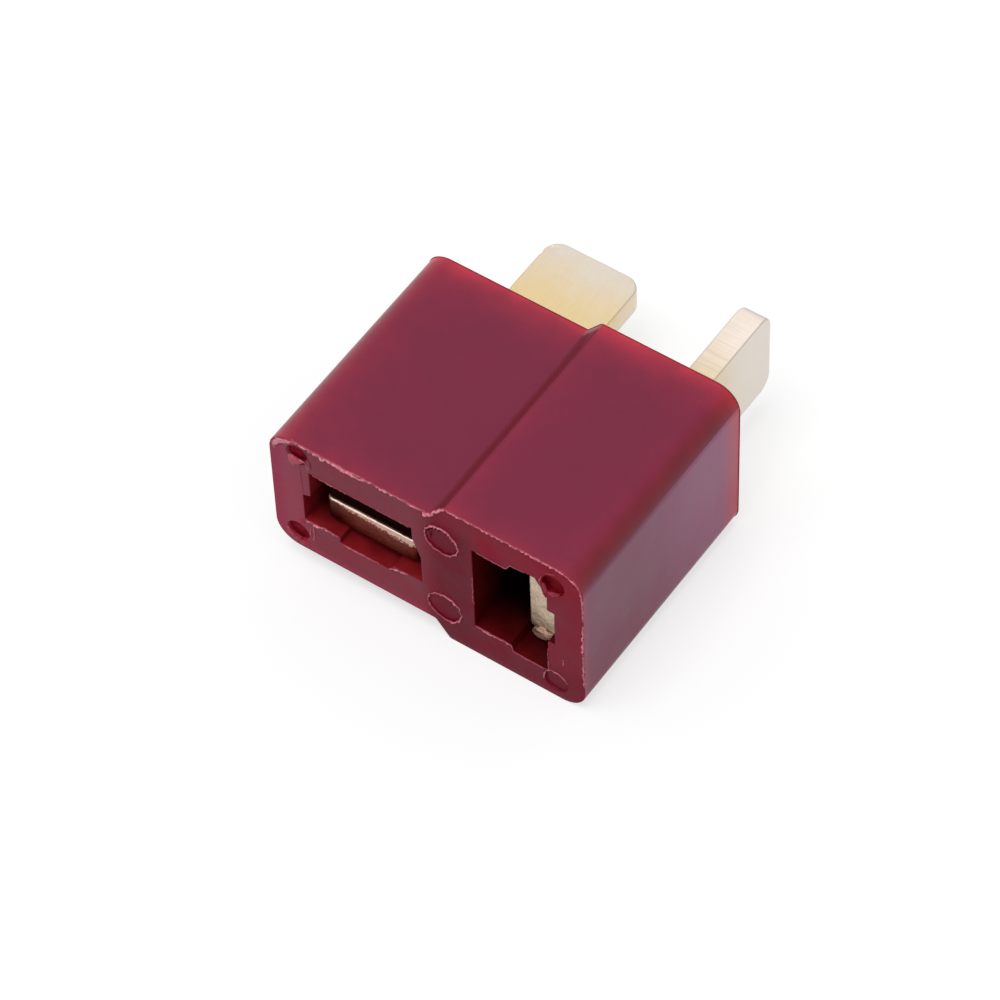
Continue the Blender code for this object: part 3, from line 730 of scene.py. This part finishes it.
def nose_brass(name, edge, upper, lower, split, softness, darkening):
    """Bare sheared nose of a contact: a painted highlight on its top edge, a lighter upper part and a darker
    lower one, painted light and painted shadow on the flat bar.

    The height that parts upper from lower goes from one (across, up) place to
    another and stays level beyond them, and speckle breaks it up. The nose
    darkens with painted shade between two places across, and is darkest just past the second.
    """
    made, tree, shader = material(name)
    place = place_in_mm(tree)
    across, _, up = parts_of(tree, place)
    clouds = grain(tree, place, 2.2, 4.0, 0.65)
    fine = grain(tree, place, 11.0, 3.0, 0.7)
    (start_x, start_z), (end_x, end_z) = split
    dark_start, dark_end = darkening
    line = remap(tree, across, start_x, end_x, start_z, end_z)
    above = plus(tree, calculate(tree, "SUBTRACT", up, line), remap(tree, clouds, 0.3, 0.7, -0.05, 0.05),
                 remap(tree, fine, 0.35, 0.65, -0.11, 0.11))
    shade = times(tree, remap(tree, across, dark_end, dark_start, NOSE_DARK_LEVEL, 1.0),
                  remap(tree, fine, 0.35, 0.65, 0.82, 1.18))
    # Painted light above the split and painted shadow below it, darkened by painted shade towards the end
    front = shaded(tree, mix_colours(tree, remap(tree, above, -softness, softness), lower, upper), shade)
    # Painted highlight on the top edge
    base = mix_colours(tree, remap(tree, facing_parts(tree)[2], 0.28, 0.55), front, edge)
    # Painted shade, nearly black, just past the dark end
    tip = remap(tree, across, dark_end - NOSE_TIP_FAR, dark_end - NOSE_TIP_NEAR, NOSE_TIP_LEVEL, 1.0)
    base = shaded(tree, base, tip)
    finish_surface(tree, shader, base, (clouds, 0.34, 0.50), ((clouds, 0.05), (fine, 0.004)), metallic=1.0)
    return made


def burr_brass():
    """Smeared brownish end of the sheared upright bar."""
    made, tree, shader = material("burr_brass")
    place = place_in_mm(tree)
    clouds = grain(tree, stretched(tree, place, (0.5, 1.0, 1.8)), 2.6, 4.0, 0.65)
    base = mix_colours(tree, remap(tree, clouds, 0.35, 0.65), BRASS["burr_dark"], BRASS["burr_light"])
    finish_surface(tree, shader, base, (clouds, 0.40, 0.55), ((clouds, 0.05),), metallic=0.9)
    return made


# Meshes

def add_piece(name, copy, materials, replaced=(), smooth_angle=SMOOTH_ANGLE):
    """Make an edited mesh a piece of the part, and give back its finished mesh."""
    mesh = bpy.data.meshes.new(name)
    copy.to_mesh(mesh)
    copy.free()
    piece = bpy.data.objects.new(name, mesh)
    bpy.context.scene.collection.objects.link(piece)
    for made in materials:
        mesh.materials.append(made)
    mesh.shade_smooth()
    mesh.set_sharp_from_angle(angle=smooth_angle)
    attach(piece, "root")
    for node in replaced:
        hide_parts(node)
    return mesh


def clean_copy(node):
    """Copy of a solid's mesh, welded, with each flat face in one piece."""
    copy = bmesh.new()
    copy.from_mesh(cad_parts[node].data)
    bmesh.ops.remove_doubles(copy, verts=copy.verts, dist=WELD_DISTANCE)
    bmesh.ops.dissolve_limit(copy, angle_limit=FLAT_ANGLE, verts=copy.verts, edges=copy.edges)
    return copy


def in_box(place, box):
    """Whether a place in millimetres lies in a box given across and up, or just around it."""
    (low_x, low_z), (high_x, high_z) = box
    return (low_x - FRONT_SKIN < place.x < high_x + FRONT_SKIN
            and low_z - FRONT_SKIN < place.z < high_z + FRONT_SKIN)


def in_circle(place, centre, radius):
    """Whether a place in millimetres lies in a circle given across and up, or just around it."""
    return (place.x - centre[0]) ** 2 + (place.z - centre[1]) ** 2 < (radius + FRONT_SKIN) ** 2


def housing_material_index(place, normal):
    """Which of the housing's materials a face gets, from its middle in millimetres and its normal."""
    depth = place.y - FRONT
    is_floor = normal.y < FLOOR_FACING
    in_corner = any(in_circle(place, mark, CORNER_MARK_RADIUS)
                    for mark in (UPPER_LEFT_MARK, LOWER_LEFT_MARK, UPPER_RIGHT_MARK))
    if in_corner and CORNER_MARK_SKIN < depth < CORNER_MARK_DEPTH + FRONT_SKIN:
        return MARK if is_floor or place.x > 0.0 else TORN
    on_web = any(in_circle(place, mark, WEB_MARK_RADIUS) for mark in (UPPER_WEB_MARK, LOWER_WEB_MARK))
    if on_web and WEB_MARK_SKIN < depth < SHALLOW_MARK_REACH:
        # The web marks' walls take the dark nylon of the slots, a painted shade inside the marks
        return FACE if is_floor else SLOT
    if in_circle(place, LOWER_RIGHT_MARK, LOWER_RIGHT_RADIUS) and depth < SHALLOW_MARK_REACH:
        return FACE
    if FRONT_SKIN < depth < SLOT_REACH and (in_box(place, FLAT_SLOT) or in_box(place, UPRIGHT_SLOT)):
        return SLOT
    near_step = STEP_FOOT - STEP_MARGIN < place.x < STEP_HEAD + STEP_MARGIN
    if near_step and abs(normal.x) > SLOPE_FACING and depth > FRONT_SKIN:
        return STEP
    if normal.x > SIDE_FACING and place.x > UPRIGHT_SLOT[1][0] + FRONT_SKIN:
        return SIDE
    return FACE if normal.y < FRONT_FACING else BODY


def keep_flats_flat(mesh, around):
    """Set each corner's normal from the faces around its vertex, the larger faces counting more."""
    limit = math.cos(SMOOTH_ANGLE)
    normals = []
    for polygon in mesh.polygons:
        for corner in polygon.loop_indices:
            total = Vector((0.0, 0.0, 0.0))
            for normal, area in around[mesh.loops[corner].vertex_index]:
                if normal.dot(polygon.normal) > limit:
                    total += normal * area
            normals.append(total.normalized() if total.length > 0.0 else polygon.normal.copy())
    mesh.normals_split_custom_set(normals)


def build_housing(materials):
    """Housing with small rounds along its sharp edges; its materials come in the order from BODY to SIDE."""
    copy = clean_copy("housing")
    sharp = [edge for edge in copy.edges if edge.calc_face_angle(0.0) > SHARP_ANGLE]
    bmesh.ops.bevel(copy, geom=sharp, offset=HOUSING_ROUND, segments=ROUND_STEPS,
                    profile=0.5, affect="EDGES", clamp_overlap=False)
    copy.normal_update()
    around = [[(face.normal.copy(), face.calc_area()) for face in vertex.link_faces] for vertex in copy.verts]
    bmesh.ops.triangulate(copy, faces=copy.faces)
    for face in copy.faces:
        face.material_index = housing_material_index(face.calc_center_median() / MM, face.normal)
    mesh = add_piece("moulded_housing", copy, materials, ("housing",))
    keep_flats_flat(mesh, around)


def cut_at(copy, axis, place):
    """Cut a mesh along a plane square to an axis."""
    normal = Vector((0.0, 0.0, 0.0))
    normal[axis] = 1.0
    bmesh.ops.bisect_plane(copy, geom=list(copy.verts) + list(copy.edges) + list(copy.faces),
                           dist=WELD_DISTANCE, plane_co=normal * place, plane_no=normal)


def cut_into_grid(copy, axis, low, high, step):
    """Cut a mesh along evenly spaced planes square to an axis."""
    count = round((high - low) / step)
    for index in range(1, count):
        cut_at(copy, axis, low + (high - low) * index / count)


def build_contact(node, name, materials, dents=(), lift=0.0, slant=0.0):
    """Contact bar with the slight waves of a sheared and rolled strip, and a few dents.

    Shearing has lifted the nose's top edge a little, by the lift in
    millimetres, and towards +X by as much as the slant more.
    """
    low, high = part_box(node)
    wide = 0 if high[0] - low[0] > high[2] - low[2] else 2
    copy = clean_copy(node)
    cut_into_grid(copy, 1, low[1], high[1], CONTACT_GRID)
    cut_into_grid(copy, wide, low[wide], high[wide], CONTACT_GRID)
    cut_at(copy, 1, low[1] + LIP_REACH)
    copy.normal_update()
    moves = []
    for vertex in copy.verts:
        wave = noise.noise(vertex.co * CONTACT_WAVE_SCALE) * CONTACT_WAVE
        for place, radius, depth in dents:
            distance = (vertex.co / MM - Vector(place)).length / radius
            wave -= depth * MM * math.exp(-distance * distance)
        raised = 0.0
        if vertex.co.z > high[2] - NOSE_UPPER:
            fade = math.exp((low[1] - vertex.co.y) / NOSE_FADE)
            raised = (lift + slant * (vertex.co.x - low[0]) / (high[0] - low[0])) * fade * MM
        moves.append(vertex.normal * wave + Vector((0.0, 0.0, raised)))
    for vertex, move in zip(copy.verts, moves):
        vertex.co += move
    for face in copy.faces:
        behind_nose = face.calc_center_median().y - low[1]
        sheared = face.normal.y < NOSE_FACING or face.normal[wide] < WIDE_FACING
        # The top face's strip behind the nose takes the nose material and its painted highlight
        face.material_index = 1 if behind_nose < (NOSE_REACH if sheared else LIP_REACH) else 0
    add_piece(name, copy, materials, (node,))


def resample(route, step):
    """Places and sizes every step along a route of (across, up, size) points."""
    points = [Vector(point) for point in route]
    out = []
    for start, end in zip(points, points[1:]):
        count = max(1, round(math.dist(start[:2], end[:2]) / step))
        out += [start.lerp(end, index / count) for index in range(count)]
    return out + [points[-1]]


def build_flash(name, route, made, thickness, seed, closed=False):
    """Crumbly bead of torn plastic on the front face: a route of (across, up, height) in mm.

    Noise breaks up the bead's height, its width and its path.
    """
    stations = resample(route, FLASH_STEP)
    if closed:
        stations = stations[:-1]
    count = len(stations)
    copy = bmesh.new()
    rings = []
    for index, (across, up, height) in enumerate(stations):
        before = stations[index - 1] if index or closed else stations[0]
        after = stations[(index + 1) % count] if index + 1 < count or closed else stations[-1]
        run = Vector((after[0] - before[0], 0.0, after[1] - before[1])).normalized()
        side = Vector((-run.z, 0.0, run.x))
        key = Vector((across * FLASH_CELLS + seed, seed * SEED_SLANT, up * FLASH_CELLS))
        torn = TORN_MIDDLE + TORN_SHARE * noise.noise(key) + TORN_FINE_SHARE * noise.noise(key * FINE_CELLS)
        reach = max(FLASH_LEAST, height * min(TORN_MOST, max(TORN_LEAST, torn)))
        half = 0.5 * thickness * (WIDTH_MIDDLE + WIDTH_SHARE * noise.noise(key * WIDTH_CELLS))
        sway = side * (SWAY_SHARE * thickness * noise.noise(key * SWAY_CELLS + SWAY_SHIFT))
        middle = Vector((across, FRONT, up)) + sway
        sink = Vector((0.0, FLASH_SINK, 0.0))
        ring = [middle - side * half + sink, middle + side * half + sink]
        for step in range(FLASH_SIDES):
            angle = math.pi * step / (FLASH_SIDES - 1)
            crumb_key = Vector((index * CRUMB_CELLS[0], step * CRUMB_CELLS[1], seed))
            crumb = 1.0 + CRUMB_SHARE * noise.noise(crumb_key)
            ring.append(middle + side * (half * math.cos(angle) * crumb)
                        - Vector((0.0, reach * math.sin(angle) * crumb, 0.0)))
        rings.append([copy.verts.new(point * MM) for point in ring])
    for first, second in zip(rings, rings[1:] + (rings[:1] if closed else [])):
        for index in range(len(first)):
            following = (index + 1) % len(first)
            copy.faces.new((first[index], first[following], second[following], second[index]))
    if not closed:
        copy.faces.new(list(reversed(rings[0])))
        copy.faces.new(rings[-1])
    bmesh.ops.recalc_face_normals(copy, faces=copy.faces)
    add_piece(name, copy, (made,), smooth_angle=FLASH_ANGLE)


def build_flap(name, outline, peak, made):
    """Flap on the front face: (across, up, out) points in mm, with a peak that its facets meet in."""
    copy = bmesh.new()
    rim = [copy.verts.new(Vector((across, FRONT - out, up)) * MM) for across, up, out in outline]
    foot = [copy.verts.new(Vector((across, FRONT + FLAP_SINK, up)) * MM) for across, up, _ in outline]
    top = copy.verts.new(Vector((peak[0], FRONT - peak[2], peak[1])) * MM)
    for index in range(len(outline)):
        following = (index + 1) % len(outline)
        copy.faces.new((rim[index], rim[following], top))
        copy.faces.new((rim[following], rim[index], foot[index], foot[following]))
    copy.faces.new(foot)
    bmesh.ops.recalc_face_normals(copy, faces=copy.faces)
    bmesh.ops.bevel(copy, geom=copy.edges[:], offset=FLAP_ROUND * MM, segments=1, affect="EDGES",
                    clamp_overlap=True)
    bmesh.ops.triangulate(copy, faces=copy.faces)
    add_piece(name, copy, (made,), smooth_angle=FLASH_ANGLE)


def arc(centre, radius, angles, heights):
    """Route along a circle, between two angles in degrees, with heights spread evenly."""
    start, end = angles
    count = len(heights) - 1
    route = []
    for index, height in enumerate(heights):
        angle = math.radians(start + (end - start) * index / count)
        route.append((centre[0] + radius * math.cos(angle), centre[1] + radius * math.sin(angle), height))
    return route


def build_front_flash(face, torn):
    """Flash along the front edges, the slots and the marks, and the flaps beside them."""
    nylons = {"flash": flash_nylon(), "torn": torn, "face": face}
    for index, (name, (thickness, route)) in enumerate(FLASH.items()):
        build_flash(name, route, nylons["flash"], thickness, SEED_STEP * index)
    for name, (nylon, centre, radius, angles, thickness, seed, heights) in RIMS.items():
        route = arc(centre, radius, angles, heights)
        build_flash(name, route, nylons[nylon], thickness, seed, closed=angles == WHOLE_CIRCLE)
    for name, (nylon, outline, peak) in FLAPS.items():
        build_flap(name, outline, peak, nylons[nylon])


def build_burr(made):
    """Small closed lump with folds, turned about Y."""
    copy = bmesh.new()
    bmesh.ops.create_icosphere(copy, subdivisions=BURR_FINENESS, radius=1.0)
    turned = Matrix.Rotation(math.radians(BURR_TURN), 3, "Y")
    for vertex in copy.verts:
        direction = vertex.co.normalized()
        key = direction * BURR_CELLS + Vector((BURR_SEED, 0.0, -BURR_SEED))
        ridge = 1.0 - abs(noise.noise(key)) * 2.0
        fine = BURR_FINE_SHARE * BURR_ROUGHNESS * noise.noise(key * BURR_FINE_CELLS)
        bulge = 1.0 + BURR_ROUGHNESS * (ridge - 0.5) + fine
        reach = Vector([part * half * bulge for part, half in zip(direction, BURR_SIZE)])
        vertex.co = (Vector(BURR_PLACE) + turned @ reach) * MM
    add_piece("sheared_burr", copy, (made,), smooth_angle=FLASH_ANGLE)


def build_contacts():
    """Both contact bars, each with its plating and its bare nose, and the upright one's burr."""
    flat = plated_brass("flat_plating", wide_axis=2, near=BRASS["flat_near"], far=BRASS["flat_far"],
                        narrow_far=BRASS["flat_narrow_far"], fade=(5.3, 9.6))
    upright = plated_brass("upright_plating", wide_axis=0, near=BRASS["upright_near"],
                           far=BRASS["upright_far"], narrow_far=BRASS["upright_narrow_far"],
                           fade=(3.6, 7.0))
    flat_nose = nose_brass("flat_nose", edge=BRASS["flat_nose_painted_highlight"], upper=BRASS["flat_nose_painted_light"],
                           lower=BRASS["flat_nose_painted_shadow"], split=((-5.0, 4.44), (-1.8, 4.23)),
                           softness=0.08, darkening=(-4.2, -5.4))
    upright_nose = nose_brass("upright_nose", edge=BRASS["upright_nose_painted_highlight"],
                              upper=BRASS["upright_nose_upper"], lower=BRASS["upright_nose_lower"],
                              split=((4.4, 3.1), (5.8, 3.1)), softness=0.5, darkening=(4.4, 4.2))
    build_contact("flat_contact", "flat_bar", (flat, flat_nose), FLAT_BAR_DENTS, lift=0.08, slant=0.13)
    build_contact("upright_contact", "upright_bar", (upright, upright_nose))
    build_burr(burr_brass())


def build():
    """Set up the studio and dress the part."""
    build_camera()
    build_world()
    build_floor()
    build_key_light()
    face, torn = face_nylon(), torn_nylon()
    build_housing((body_nylon(), face, painted_shade_slot_nylon(), mark_nylon(), torn, step_nylon(), right_side_painted_reflection()))
    build_contacts()
    build_front_flash(face, torn)
    bpy.context.scene.view_settings.view_transform = "Standard"


build()
